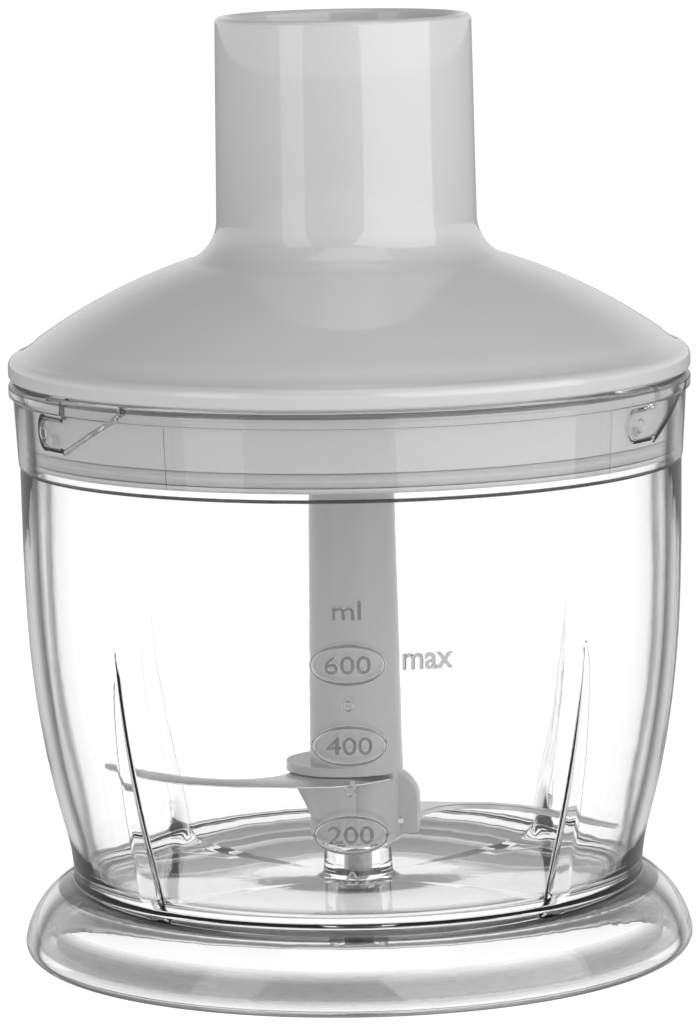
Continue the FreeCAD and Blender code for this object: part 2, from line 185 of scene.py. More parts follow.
def make_piece(name, grids, sharp=35):
    """One object from a list of (points, faces), in millimetres. Normals are recalculated after the
    doubles are merged, and an edge that turns by more than sharp degrees stays crisp."""
    shift = np.cumsum([0] + [len(points) for points, faces in grids[:-1]])
    points = np.vstack([points for points, faces in grids]) * MM
    faces = np.vstack([faces + start for (_, faces), start in zip(grids, shift)])
    mesh = bpy.data.meshes.new(name)
    mesh.from_pydata(points.tolist(), [], faces.tolist())
    return finish_mesh(mesh, name, sharp)


def finish_mesh(mesh, name, sharp):
    work = bmesh.new()
    work.from_mesh(mesh)
    bmesh.ops.remove_doubles(work, verts=work.verts, dist=2e-6)
    bmesh.ops.dissolve_degenerate(work, edges=work.edges, dist=1e-7)
    bmesh.ops.recalc_face_normals(work, faces=work.faces)
    work.to_mesh(mesh)
    work.free()
    mesh.shade_smooth()
    mesh.set_sharp_from_angle(angle=math.radians(sharp))
    piece = bpy.data.objects.new(name, mesh)
    bpy.context.scene.collection.objects.link(piece)
    triangles = sum(len(face.vertices) - 2 for face in mesh.polygons)
    print(f"{name}: {triangles} triangles")
    return piece


def turned(row, angles):
    """Turns an outline: x = r cos(angle), y = r sin(angle), z = z, with all rows at the same angles."""
    r, z = row[:, :1], row[:, 1:]
    x, y = r * np.cos(angles), r * np.sin(angles)
    return np.stack([x, y, z + 0 * x], -1).reshape(-1, 3), grid_faces(len(row), len(angles))


def even_angles(count):
    return 2 * math.pi * np.arange(count) / count


# %% [markdown]
# ## The clear bowl
#
# The bowl is one injection moulding of clear styrene plastic with walls of 2.5 mm. A ray of light
# bends on the way in and again on the way out, so a clear piece has to be a closed body with both of
# its skins, at the real thickness. A single sheet would show no dark edges at all.
#
# The outside starts under the floor, goes round the foot and climbs the belly to a step, where the
# band that takes the lid begins. The inside comes down again over a narrow shelf to the floor and
# the boss that holds the steel pin.

# %% Outline of the bowl
wall = 2.5
floor_z = 16.0
under_floor_z = floor_z - 2.6
band_in_r = lip_r - 3.6
shelf_z = 101.0
pin_hole_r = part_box("centre_pin")[1].x / MM + 0.06
pin_low_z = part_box("centre_pin")[0].z / MM - 0.06

belly = curve([(58.1, 16.0), (58.5, 21.0), (60.7, 30.5), (63.9, 46.0), (66.1, 65.0), (66.85, 84.0)], 22)
inner_belly = curve([(64.35, 84.0), (63.6, 65.0), (61.4, 46.0), (58.2, 30.5), (55.8, 20.0)], 24)

outside = outline(
    (0, 8.4), (5.6, 8.4), (6.0, under_floor_z), (56.0, under_floor_z),
    arc((56.0, under_floor_z), (63.0, 9.0), (65.6, 3.6), 12), (65.3, 0.3), (66.4, 0.3),
    arc((66.4, 0.3), (67.8, 1.4), (68.2, 4.0), 7), arc((68.2, 4.0), (65.1, 10.7), (58.1, 16.0), 12),
    belly, (67.05, shelf_z), (67.3, shelf_z + 0.4), (68.1, rim_z - 3.1), (lip_r, rim_z - 2.9),
    (lip_r, rim_z - 0.7), (lip_r - 0.7, rim_z))
band = np.stack([np.full(48, band_in_r), np.linspace(rim_z, shelf_z, 48)], 1)
inside = outline(
    band, (64.8, shelf_z), inner_belly, arc((55.8, 20.0), (54.6, 17.2), (52.0, floor_z), 6),
    (8.2, floor_z), (7.2, 17.0), (6.8, 22.1), (6.3, 22.6), (pin_hole_r, 22.6),
    (pin_hole_r, pin_low_z), (0, pin_low_z))
bowl_row = softened(outline(outside, inside), 0.45, 4)
lip_at = int(np.argmax((bowl_row[:, 1] > rim_z - 0.05) & (bowl_row[:, 0] < lip_r - 1.5)))
print("bowl outline:", len(bowl_row), "points, inside from point", lip_at)

# %% [markdown]
# ### Ribs and bayonet pockets
#
# Four upright ribs on the inside of the belly throw the food back at the blades. Each is a long thin
# wedge that fades out two thirds of the way up. Three pockets in the band take the lid's lugs: the
# lug comes in over the rim, runs down a ramp and turns under a hook.
#
# Both could be cut with a boolean, but its long thin faces show as creases in clear plastic. Instead
# the inner skin is moved: a rib pushes it inwards, a pocket pushes it outwards. The columns of the
# grid stand closer together there, and beside a rib they are drawn in with its edges, so that the
# wedge stays crisp up to its point.

# %% Columns of the bowl's grid
rib_middles = np.radians([45, 135, 225, 315])
rib_top_z, rib_half_w, rib_depth = 69.0, 3.2, 3.0
rib_zone, rib_base = math.radians(5.0), math.radians(3.3)
pocket_middles = np.radians([-152.0, -32.0, 88.0])
pocket_reach = (-4.6, 29.0)
outer_r = 67.0


def dense(middle, low, high, step):
    return middle + np.arange(low, high + step / 2, step)


def clear_of(angles, middle, low, high):
    away = (angles - middle - low) % (2 * math.pi)
    return angles[away > high - low]


columns = np.radians(np.arange(0, 360, 2.0))
for middle in pocket_middles:
    low, high = pocket_reach[0] / outer_r, pocket_reach[1] / outer_r
    columns = clear_of(columns, middle, low, high)
    columns = np.concatenate([columns, dense(middle, low, high, 0.37 / outer_r)])
for middle in rib_middles:
    columns = clear_of(columns, middle, -rib_zone, rib_zone)
    columns = np.concatenate([columns, dense(middle, -rib_zone, rib_zone, rib_base / 6)])
columns = np.sort(columns % (2 * math.pi))
columns = columns[np.diff(columns, append=columns[0] + 2 * math.pi) > 1e-4]
print("columns:", len(columns))


# %% Moving the inner skin
def signed(angles, middle):
    return (angles - middle + math.pi) % (2 * math.pi) - math.pi


def pull_in_ribs(angle, r, z):
    """A rib's depth and half width both fall in a straight line from the floor to its top. Inside its
    base the depth falls from the middle to nothing at the edge, and the columns follow the edge."""
    left = np.clip((rib_top_z - z) / (rib_top_z - floor_z), 0, 1)
    on_wall = (z < rib_top_z + 6) & (r > 51.0)
    for middle in rib_middles:
        away = signed(angle, middle)
        size = np.abs(away)
        edge = np.maximum(rib_half_w * left, 0.12) / np.maximum(r, 1)
        edge = np.where(z > rib_top_z, edge + (rib_base - edge) * np.clip((z - rib_top_z) / 6, 0, 1), edge)
        inner = size / rib_base * edge
        outer = edge + (size - rib_base) * (rib_zone - edge) / (rib_zone - rib_base)
        near = on_wall & (size < rib_zone)
        angle = np.where(near, middle + np.sign(away) * np.where(size <= rib_base, inner, outer), angle)
        depth = rib_depth * left * np.clip(1 - size / rib_base, 0, 1)
        r = np.where(near, np.maximum(r - depth, np.minimum(r, 52.3)), r)
    return angle, r


def pocket_mask(along, z, blur=0.32):
    """1 in the pocket and its ramp, 0 outside, from a distance that is negative inside. The pocket is
    a box with round left corners, the ramp is the space over a 26 degree line, to the right of the
    hook, and their union takes the smaller distance."""
    low, high, corner = 108.1, 114.4, 3.0
    dx = np.maximum(-0.5 - along, 0)
    dz = np.abs(z - (low + high) / 2) - ((high - low) / 2 - corner)
    rounded = np.hypot(dx, np.maximum(dz, 0)) - corner
    straight = np.maximum(np.abs(z - (low + high) / 2) - (high - low) / 2, along - 8.3)
    box = np.where(along < -0.5, rounded, straight)
    slope = math.radians(26)
    ramp = np.maximum(7.2 - along, (z - low) * -math.cos(slope) + (along - 8.3) * math.sin(slope))
    return 1 / (1 + np.exp(np.clip(np.minimum(box, ramp) / blur * 3, -40, 40)))


r, z = (np.repeat(bowl_row[:, k:k + 1], len(columns), 1) for k in (0, 1))
angle = np.repeat(columns[None], len(bowl_row), 0)
skin = (np.arange(len(bowl_row)) >= lip_at)[:, None] & np.ones_like(angle, bool)
ribbed_angle, ribbed_r = pull_in_ribs(angle, r, z)
angle, r = np.where(skin, ribbed_angle, angle), np.where(skin, ribbed_r, r)
in_band = skin & (z > shelf_z + 0.5)
for middle in pocket_middles:
    r = np.where(in_band, r + 1.6 * pocket_mask(signed(angle, middle) * outer_r, z), r)
bowl_points = np.stack([r * np.cos(angle), r * np.sin(angle), z], -1).reshape(-1, 3)
clear_bowl = make_piece("clear_bowl", [(bowl_points, grid_faces(len(bowl_row), len(columns)))], sharp=50)
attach(clear_bowl, "bowl")
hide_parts("bowl")

# %% [markdown]
# ### The scale on the front
#
# The scale is cut into the mould, so its figures stand up from the plastic and are as clear as the
# wall. They are seen only by their edges; their finish is painted half as bright as the wall, a
# painted shade that stands in for those dark edges. The letters start as flat text, which Blender
# thickens and bevels, and are then bent round the wall: across becomes an angle, up becomes a height
# and the thickness becomes a radius. A hair of air is left under them, because two clear bodies that
# share space confuse the light.

# %% Bending flat work round the wall
wall_z, wall_r = belly[:, 1], belly[:, 0]
wall_z, wall_r = np.append(wall_z, shelf_z), np.append(wall_r, 67.05)
air = 0.03
front = -math.pi / 2


def on_wall(points, bearing, height):
    """angle = bearing + x / R, z = height + y, radius = R(z) + air + depth."""
    z = height + points[:, 1]
    r = np.interp(z, wall_z, wall_r)
    angle = front + math.radians(bearing) + points[:, 0] / r
    r = r + air + points[:, 2]
    return np.stack([r * np.cos(angle), r * np.sin(angle), z], 1)


def word(text, width, height, depth=0.34, bevel=0.1):
    """Points and triangles of a word, with its middle at the origin, fitted to a width and height."""
    letters = bpy.data.curves.new("letters", "FONT")
    letters.body = text
    letters.size = 10.0
    letters.extrude = 0.5
    letters.bevel_depth = 0.16
    letters.bevel_resolution = 1
    letters.resolution_u = 6
    holder = bpy.data.objects.new("letters", letters)
    bpy.context.scene.collection.objects.link(holder)
    bpy.context.view_layer.update()
    mesh = bpy.data.meshes.new_from_object(holder.evaluated_get(bpy.context.evaluated_depsgraph_get()))
    bpy.data.objects.remove(holder)
    mesh.calc_loop_triangles()
    points = np.zeros(len(mesh.vertices) * 3)
    mesh.vertices.foreach_get("co", points)
    corners = np.zeros(len(mesh.loop_triangles) * 3, int)
    mesh.loop_triangles.foreach_get("vertices", corners)
    bpy.data.meshes.remove(mesh)
    points, corners = points.reshape(-1, 3), corners.reshape(-1, 3)
    low, high = points.min(0), points.max(0)
    points = (points - (low + high) / 2) / (high - low) * (width, height, depth) + (0, 0, depth / 2)
    return points, corners


def ring(half_w, half_h, line, depth, point=0.0, count=72):
    """A raised line round an ellipse. Its section is half an ellipse, line wide and depth high, and
    point pulls the top of the ellipse up into a drop."""
    u = even_angles(count)[:, None]
    v = np.linspace(0, math.pi, 9)[None]
    across, up = -line / 2 * np.cos(v), depth * np.sin(v)
    x, y = (half_w + across) * np.cos(u), (half_h + across) * np.sin(u)
    y = y + point * np.clip(np.sin(u), 0, 1) ** 6
    points = np.stack([x, y, up + 0 * x], -1).reshape(-1, 3)
    return points, grid_faces(count, 9, closed_rows=True)


def disc(radius, depth, count=24):
    """A low round pip: rings of points from its foot to its top, and back along its flat underside."""
    row = np.array([(0, 0), (radius, 0), (radius * 0.85, depth * 0.7), (radius * 0.5, depth), (0, depth)])
    u = even_angles(count)[None]
    x, y = row[:, :1] * np.cos(u), row[:, :1] * np.sin(u)
    points = np.stack([x, y, row[:, 1:] + 0 * x], -1).reshape(-1, 3)
    return points, grid_faces(len(row), count)


# %% The marks
def as_quads(faces):
    """Triangles as four corners with the last repeated, so that they can join a grid's faces."""
    return np.hstack([faces, faces[:, 2:]])


marks = [(*word("ml", 5.6, 3.7), 0.0, 80.15), (*word("max", 9.9, 3.3), 13.4, 69.9)]
for figure, height in (("600", 69.55), ("400", 53.5), ("200", 35.45)):
    marks.append((*word(figure, 8.9, 3.6), 0.0, height))
    marks.append((*ring(7.05, 3.75, 0.75, 0.34), 0.0, height))
for height, drop in ((61.5, 0.0), (44.4, 0.0), (25.95, 0.7)):
    marks.append((*ring(0.95, 0.95, 0.5, 0.3, drop, 32), 0.0, height))
scale_grids = []
for points, faces, bearing, height in marks:
    faces = as_quads(faces) if faces.shape[1] == 3 else faces
    scale_grids.append((on_wall(points, bearing, height), faces))


# %% [markdown]
# A mesh can't hold a face with a repeated corner, so the letters' triangles and the rings' squares
# go in as lists of their own length.

# %% Scale piece
def make_mixed(name, grids, sharp):
    """As make_piece, for faces of three or four corners."""
    shift = np.cumsum([0] + [len(points) for points, faces in grids[:-1]])
    points = np.vstack([points for points, faces in grids]) * MM
    faces = [list(dict.fromkeys(face)) for (_, rows), start in zip(grids, shift)
             for face in (rows + start).tolist()]
    mesh = bpy.data.meshes.new(name)
    mesh.from_pydata(points.tolist(), [], faces)
    return finish_mesh(mesh, name, sharp)


scale_marks = make_mixed("scale_marks", scale_grids, 30)
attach(scale_marks, "bowl")

# %% [markdown]
# ### Witness marks of the mould
#
# Where the halves of the mould meet, a hair-thin line runs up the band, and the pin that pushes the
# bowl out of the mould leaves a small ring beside each pocket. They are tiny, but clear plastic shows
# everything, and their absence would look too perfect.

# %% Seam lines and ejector rings
band_z = np.array([shelf_z + 0.4, rim_z - 3.1])
band_r = np.array([67.3, 68.1])


def on_band(points, bearing, height):
    """As on_wall, on the cone of the band."""
    z = height + points[:, 1]
    r = np.interp(z, band_z, band_r)
    angle = front + math.radians(bearing) + points[:, 0] / r
    r = r + air + points[:, 2]
    return np.stack([r * np.cos(angle), r * np.sin(angle), z], 1)


def bead(length, half_w, depth, count=24):
    """A straight raised line whose half-elliptic section shrinks to nothing at both ends."""
    t = np.linspace(-1, 1, count)[:, None]
    v = np.linspace(0, math.pi, 7)[None]
    fade = np.sqrt(np.clip(1 - t ** 8, 0, 1))
    x, up = -half_w * np.cos(v) * fade, depth * np.sin(v) * fade
    points = np.stack([x, t * length / 2 + 0 * x, up], -1).reshape(-1, 3)
    return points, grid_faces(count, 7)


witness = []
for bearing in (-30.7, 49.5):
    points, faces = bead(13.0, 0.1, 0.07)
    witness.append((on_band(points, bearing, 109.0), faces))
for middle in pocket_middles:
    bearing = math.degrees(middle) - math.degrees(front)
    points, faces = ring(1.3, 1.3, 0.4, 0.16, count=40)
    witness.append((on_band(points, bearing, 111.0), faces))
mould_marks = make_piece("mould_marks", witness, 30)
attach(mould_marks, "bowl")

# %% [markdown]
# ## The lid
#
# The lid's cover is one glossy shell: a straight collar that takes the motor body, a fillet, a low
# dome and a rounded flange that overhangs the bowl's lip. Its whole look is in how reflections slide
# over those curves, so the outline has more points where it bends, and the collar's lip is a full
# half round.

# %% Cover
flange_r, flange_low = cover_high.x / MM, cover_low.z / MM
collar_r, bore_r = 25.8, 23.4
lip_mid, lip_half = (collar_r + bore_r) / 2, (collar_r - bore_r) / 2
cover_row = outline(
    (9.0, 139.5), (27.0, 139.5), (29.6, 139.7), arc((29.6, 139.7), (47.3, 132.6), (62.6, 123.9), 12),
    (66.6, 121.5), (66.6, flange_low), (flange_r - 0.9, flange_low),
    arc((flange_r - 0.9, flange_low), (flange_r - 0.25, flange_low + 0.3), (flange_r, flange_low + 1), 5),
    arc((flange_r, 121.2), (68.5, 122.7), (67.2, 123.4), 8),
    arc((67.2, 123.4), (65.3, 124.5), (63.4, 126.1), 6),
    arc((63.4, 126.1), (48.6, 135.0), (33.2, 141.4), 20),
    arc((33.2, 141.4), (28.4, 144.3), (26.3, 149.6), 16),
    (26.1, 165.0), (25.95, 178.0),
    arc((collar_r, lid_top_z - lip_half), (lip_mid, lid_top_z), (bore_r, lid_top_z - lip_half), 13),
    (bore_r, collar_seat_z), (20.0, collar_seat_z), (20.0, 142.0), (9.0, 142.0), (9.0, 139.5))
lid_shell = make_piece("lid_shell", [turned(softened(cover_row, 0.5, 4), even_angles(256))], sharp=50)
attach(lid_shell, "lid")
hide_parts("lid_cover")

# %% [markdown]
# ## The blades
#
# The two blades are one stamping used twice: a swept sickle with the front edge ground from above,
# the second turned half-way round and set lower. A blade is a surface between two curves, its cutting
# edge and its back. At each step along them the section is a flat bar whose front end is ground down
# to a thin edge.

# %% Blade
def blade(low_z, turn):
    """Section corners go round the bar: back top, bevel top, edge, edge underneath, back underneath.
    Each is a mix of the two curves, and the two ends shrink to a line that closes the bar."""
    edge = curve([(-53.1, 10.8), (-43.4, -2.3), (-29.7, -11.2), (-14.0, -14.3), (-1.0, -13.4), (7.4, -6.4)], 90)
    back = curve([(-51.6, 12.8), (-38.2, 2.7), (-24.4, -4.2), (-13.0, 1.6), (-6.0, 6.0), (3.0, 7.4)], 90)
    along = np.linspace(0, 1, 90)[:, None]
    back = edge + (back - edge) * (0.55 + 0.45 * np.clip((along - 0.55) / 0.2, 0, 1) ** 2)
    width = np.linalg.norm(edge - back, axis=1)[:, None]
    bevel = np.minimum(3.2 / width, 0.55)
    shoulder = np.clip(1 - 0.25 / width, 0, 1)
    share = np.concatenate([1 + 0 * width, shoulder, bevel, 0 * width, 0 * width, 1 + 0 * width], 1)
    top = blade_t - 0.25
    height = np.array([top - 0.15, top, top, 0.25, 0.0, 0.0])
    flat = edge[:, None] + (back - edge)[:, None] * share[:, :, None]
    rise = np.repeat(height[None], len(edge), 0)
    points = np.concatenate([flat, low_z + rise[:, :, None]], 2)
    middle = points.mean(1, keepdims=True)
    ends = np.ones((len(edge), 1, 1))
    ends[[0, -1]] = 0.0
    points = (middle + (points - middle) * ends).reshape(-1, 3)
    c, s = math.cos(turn), math.sin(turn)
    points = points @ np.array([(c, s, 0), (-s, c, 0), (0, 0, 1)])
    return points, grid_faces(len(edge), 6)


blade_turn = math.radians(1.2)
for name, low_z, turn in (("upper", upper_blade_z, blade_turn), ("lower", lower_blade_z, blade_turn + math.pi)):
    ground = make_piece(name + "_ground_blade", [blade(low_z, turn)], sharp=20)
    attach(ground, "blade_unit")
    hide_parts(name + "_blade")


# %% [markdown]
# ## Finishes
#
# A finish is a small network of nodes. Written out node by node it is long and hard to read, so two
# helpers come first. A Wire stands for one output of a node and lets sums be written as sums: each
# operator adds a Math node. A Finish owns a material, adds any other node from its type, its settings
# and the values of its sockets, and feeds the shader.

# %% Wire and Finish
class Wire:
    """An output socket that can be added, subtracted and multiplied."""

    def __init__(self, finish, socket):
        self.finish, self.socket = finish, socket

    def maths(self, operation, *values):
        sockets = dict(enumerate(values))
        return self.finish.node("Math", {"operation": operation}, sockets)

    def __add__(self, other):
        return self.maths("ADD", self, other)

    def __sub__(self, other):
        return self.maths("SUBTRACT", self, other)

    def __rsub__(self, other):
        return self.maths("SUBTRACT", other, self)

    def __mul__(self, other):
        return self.maths("MULTIPLY", self, other)

    __radd__, __rmul__ = __add__, __mul__


class Finish:
    """A node network that ends in one shader, on a material or a world."""

    def __init__(self, name, owner=None, **fixed):
        self.owner = owner or bpy.data.materials.new(name)
        self.owner.use_nodes = True
        self.tree = self.owner.node_tree
        self.tree.nodes.clear()
        self.end = self.tree.nodes.new("ShaderNodeOutput" + ("World" if owner else "Material"))
        if not owner:
            self.shader = self.tree.nodes.new("ShaderNodeBsdfPrincipled")
            self.show(self.shader.outputs[0])
            for socket, value in fixed.items():
                self.shader.inputs[socket.replace("_", " ")].default_value = value

    def show(self, socket):
        self.tree.links.new(self.end.inputs["Surface"], getattr(socket, "socket", socket))

    def put(self, socket, value):
        if isinstance(value, Wire):
            self.tree.links.new(socket, value.socket)
        else:
            socket.default_value = value

    def node(self, kind, settings=None, values=None, output=0):
        """A node of any kind. A ramp's stops are a list of (place, colour)."""
        made = self.tree.nodes.new("ShaderNode" + kind)
        for name, value in (settings or {}).items():
            if name == "stops":
                made.color_ramp.elements.remove(made.color_ramp.elements[1])
                made.color_ramp.elements[0].color = (*value[0][1], 1)
                for place, colour in value[1:]:
                    made.color_ramp.elements.new(place).color = (*colour, 1)
            else:
                setattr(made, name, value)
        for name, value in (values or {}).items():
            self.put(made.inputs[name], value)
        return Wire(self, made.outputs[output])

    def feed(self, **wires):
        for name, wire in wires.items():
            self.put(self.shader.inputs[name.replace("_", " ")], wire)

    def place(self, stretch=(1, 1, 1)):
        """Object coordinates, in metres, stretched along each axis."""
        where = self.node("TexCoord", output="Object")
        return self.node("Mapping", values={"Vector": where, "Scale": stretch})

    def clouds(self, size, stretch=(1, 1, 1), detail=3.0):
        """Soft noise whose patches are about size metres across."""
        return self.node("TexNoise", values={"Vector": self.place(stretch), "Scale": 1 / size, "Detail": detail})

    def blend(self, share, one, other):
        """A colour between two colours."""
        values = {0: share, 6: (*one, 1), 7: (*other, 1)}
        return self.node("Mix", {"data_type": "RGBA"}, values, output=2)

    def ramp(self, share, stops):
        """A grey that follows share through a row of (place, brightness)."""
        return self.node("ValToRGB", {"stops": [(place, (level,) * 3) for place, level in stops]}, {0: share})

    def multiply(self, one, other):
        """One colour times another."""
        return self.node("Mix", {"data_type": "RGBA", "blend_type": "MULTIPLY"}, {0: 1.0, 6: one, 7: other}, output=2)

    def ledge(self, height, half, least_r=0.0):
        """1 near a height in millimetres, 0 away from it, and only outside a radius."""
        where = self.node("SeparateXYZ", values={0: self.node("TexCoord", output="Object")}, output="Z")
        x, y = (Wire(self, where.socket.node.outputs[axis]) for axis in ("X", "Y"))
        near = where.maths("COMPARE", where, height * MM, half * MM)
        far_out = where.maths("GREATER_THAN", x * x + y * y, (least_r * MM) ** 2)
        return near * far_out

    def bump(self, height, strength, distance):
        self.feed(Normal=self.node("Bump", values={"Height": height, "Strength": strength, "Distance": distance}))


def paint(finish, *names):
    """Gives a finish to objects, by their names."""
    for name in names:
        mesh = bpy.data.objects[name].data
        mesh.materials.clear()
        mesh.materials.append(finish.owner)


print("shader helpers ready")

# %% [markdown]
# ### Clear plastic
#
# Clear styrene bends light a little more than window glass. The moulded wall isn't quite even, so a
# faint bump with patches of a centimetre or so makes what is behind it swim, as it does in the real
# bowl. Lamps should light the post and blades inside, and a true refraction would block them, so for
# shadow rays alone the wall is plain transparent and takes a little of the light. The wall's colour
# carries painted shade: it darkens by viewing angle near its edges, and in thin dark bands at the
# step ledge, the lip and the floor's edge.

# %% Clear finish
def clear_finish(name, ripple, depth=1.0):
    clear = Finish(name, Base_Color=(0.998, 0.999, 0.999, 1), Transmission_Weight=1.0, IOR=1.54)
    haze = clear.clouds(0.03)
    clear.feed(Roughness=haze * 0.012)
    # Painted shade: the clear colour darkens by viewing angle, in a narrow band near grazing, for the dark room seen
    # in the wall's edges.
    painted_edge_shade = clear.ramp(clear.node("LayerWeight", output="Facing"), [
        (0.0, 1.0), (0.42, 1.0), (0.56, 0.97), (0.66, 0.8), (0.705, 0.03), (0.74, 0.1), (0.80, 0.6), (1.0, 0.85)])
    # Painted shade: thin bands at the step ledge, the floor's edge and the lip are painted dark grey, for their
    # shaded corners.
    painted_ledge_shade = clear.ledge(101.2, 0.35) + clear.ledge(15.0, 0.9, 55.0) + clear.ledge(rim_z - 0.6, 0.5, 66.0)
    # depth scales the clear colour; below 1 it paints the piece darker, as painted shade.
    clear.feed(Base_Color=clear.multiply(painted_edge_shade, clear.blend(painted_ledge_shade, (0.998 * depth,) * 3, (0.12,) * 3)))
    swim = clear.clouds(0.012, (1, 1, 0.45), 2.0) + clear.clouds(0.004, detail=1.0) * 0.25
    clear.bump(swim, 0.5, ripple)
    lamp_ray = clear.node("LightPath", output="Is Shadow Ray")
    through = clear.node("BsdfTransparent", values={"Color": (0.97, 0.97, 0.97, 1)})
    solid = Wire(clear, clear.shader.outputs[0])
    clear.show(clear.node("MixShader", values={0: lamp_ray, 1: solid, 2: through}))
    return clear


paint(clear_finish("clear_styrene", 0.00005), "clear_bowl")
# The marks' clear colour is halved: painted shade that stands in for their dark edges.
paint(clear_finish("clear_marks", 0.00001, 0.5), "scale_marks", "mould_marks")


# %% [markdown]
# ### Moulded plastics
#
# The lid is gloss plastic from a polished mould: an even grey, a sharp reflection, and only a trace
# of the flow of the melt. The post is the same family, satin and darker. The hidden gear case, gears
# and couplings are plain moulded plastics, rougher, with the fine spark-eroded grain of a cheaper
# mould. One function makes them all, with the grain and the spread of colour as its values.

# %% Moulded finish
def moulded(name, colour, gloss, grain, spread=0.03, coat=0.0):
    plastic = Finish(name, IOR=1.5, Coat_Weight=coat, Coat_Roughness=0.05, Coat_IOR=1.65)
    dark = tuple(c * (1 - spread) for c in colour)
    light = tuple(min(1.0, c * (1 + spread)) for c in colour)
    plastic.feed(Base_Color=plastic.blend(plastic.clouds(0.018), dark, light))
    plastic.feed(Roughness=plastic.clouds(0.006) * 0.06 + (gloss - 0.03))
    plastic.bump(plastic.clouds(grain), 0.35, grain * 0.05)
    return plastic


paint(moulded("lid_gloss", (0.57, 0.57, 0.572), 0.36, 0.0012, 0.012, 1.0), "lid_shell")
paint(moulded("lid_base_satin", (0.52, 0.52, 0.522), 0.45, 0.0012, 0.012), "lid_base")
paint(moulded("post_satin", (0.33, 0.33, 0.332), 0.3, 0.0008, 0.02), "blade_post", "blade_hub")
paint(moulded("case_moulded", (0.1, 0.1, 0.104), 0.55, 0.0006), "gear_housing")
gears = ["ring_gear", "carrier", "planet_gear_1", "planet_gear_2", "planet_gear_3"]
paint(moulded("gear_acetal", (0.75, 0.73, 0.66), 0.4, 0.0005), *gears)
paint(moulded("coupling_moulded", (0.02, 0.02, 0.022), 0.45, 0.0005), "drive_socket", "output_driver")

# %% [markdown]
# ### Soft rings
#
# The ring under the foot is translucent silicone with a finely waved face, which keeps the bowl from
# sliding. Seen through the foot it is a soft grey band. The ripples run along the ring, so the noise
# that makes them is stretched flat. The lid's seal is the same silicone, smooth, and the shaft's lip
# seal is black rubber.

# %% Silicone and rubber
def soft(name, colour, rough, ripple, stretch, depth):
    rubber = Finish(name, IOR=1.41)
    dark = tuple(c * 0.86 for c in colour)
    rubber.feed(Base_Color=rubber.blend(rubber.clouds(0.006, stretch), dark, colour))
    rubber.feed(Roughness=rubber.clouds(0.003) * 0.15 + rough)
    rubber.bump(rubber.clouds(ripple, stretch, 4.0), 0.8, depth)
    return rubber


foot_finish = soft("foot_ring_silicone", (0.36, 0.36, 0.36), 0.35, 0.003, (1, 1, 3.2), 0.0016)
height = foot_finish.node("SeparateXYZ", values={0: foot_finish.node("TexCoord", output="Object")}, output="Z")
fade = foot_finish.ramp(height * (1 / 0.0082), [(0.0, 0.0), (0.25, 0.1), (0.42, 0.95), (0.7, 0.8), (1.0, 0.1)])
foot_finish.feed(Alpha=fade)
paint(foot_finish, "foot_ring")
paint(soft("seal_silicone", (0.52, 0.52, 0.52), 0.45, 0.001, (1, 1, 1), 0.0001), "lid_seal")
paint(soft("seal_rubber", (0.02, 0.02, 0.02), 0.5, 0.001, (1, 1, 1), 0.0001), "shaft_seal")


# %% [markdown]
# ### Metals
#
# The blades are satin stainless steel: fine grinding lines run across them, so the noise is drawn out
# along one axis. The pin is polished steel whose colour carries dark streaks along it, a painted
# reflection of dark surroundings; the screws and shafts are plainer, and the bushes are sintered
# bronze, whose pores show as fine dark specks.

# %% Metal finish
def metal(name, colour, rough, stretch, line, depth=0.00002, spread=0.12):
    steel = Finish(name, Metallic=1.0)
    lines = steel.clouds(line, stretch, 4.0)
    dark = tuple(c * (1 - spread) for c in colour)
    steel.feed(Base_Color=steel.blend(lines, dark, colour))
    steel.feed(Roughness=lines * 0.14 + (rough - 0.07))
    steel.bump(lines, 0.4, depth)
    return steel


blade_finish = metal("blade_satin_steel", (0.62, 0.62, 0.63), 0.3, (6, 0.5, 1), 0.002)
paint(blade_finish, "upper_ground_blade", "lower_ground_blade")
# Painted reflection: the pin's colour spreads down to near black in streaks along it, for the dark room it reflects.
paint(metal("pin_steel_painted_reflection", (0.3, 0.3, 0.305), 0.16, (1, 1, 0.04), 0.0016, spread=0.9), "centre_pin")
shafts = ["sun_pinion", "input_clip", "carrier_cover", "planet_pins", "output_shaft"]
paint(metal("shaft_ground_steel", (0.55, 0.55, 0.56), 0.28, (0.3, 0.3, 4), 0.001), *shafts)
paint(metal("screw_zinc", (0.6, 0.6, 0.58), 0.32, (1, 1, 1), 0.002), "housing_screws")
bushes = ["input_bush", "output_bush", "lower_bush", "upper_bush"]
paint(metal("bush_bronze", (0.55, 0.36, 0.18), 0.42, (1, 1, 1), 0.0004, 0.00004, 0.45), *bushes)

# %% [markdown]
# ## The studio
#
# The bowl stands on a white table in front of a white wall, with dark room above it. What a clear
# object shows is its surroundings: straight through the wall that is white, and at steep angles, in
# the ledge and the edges of the ribs, it is the dark room. The clear finish adds painted shade to
# this: dark bands at the ledge, the lip and the floor's edge, and a darkening of the wall's edges by
# viewing angle. So the world is white near the horizon and dark overhead. The table is mostly its
# own white, with a share left for lamps, so that the bowl's shadow stays on it.

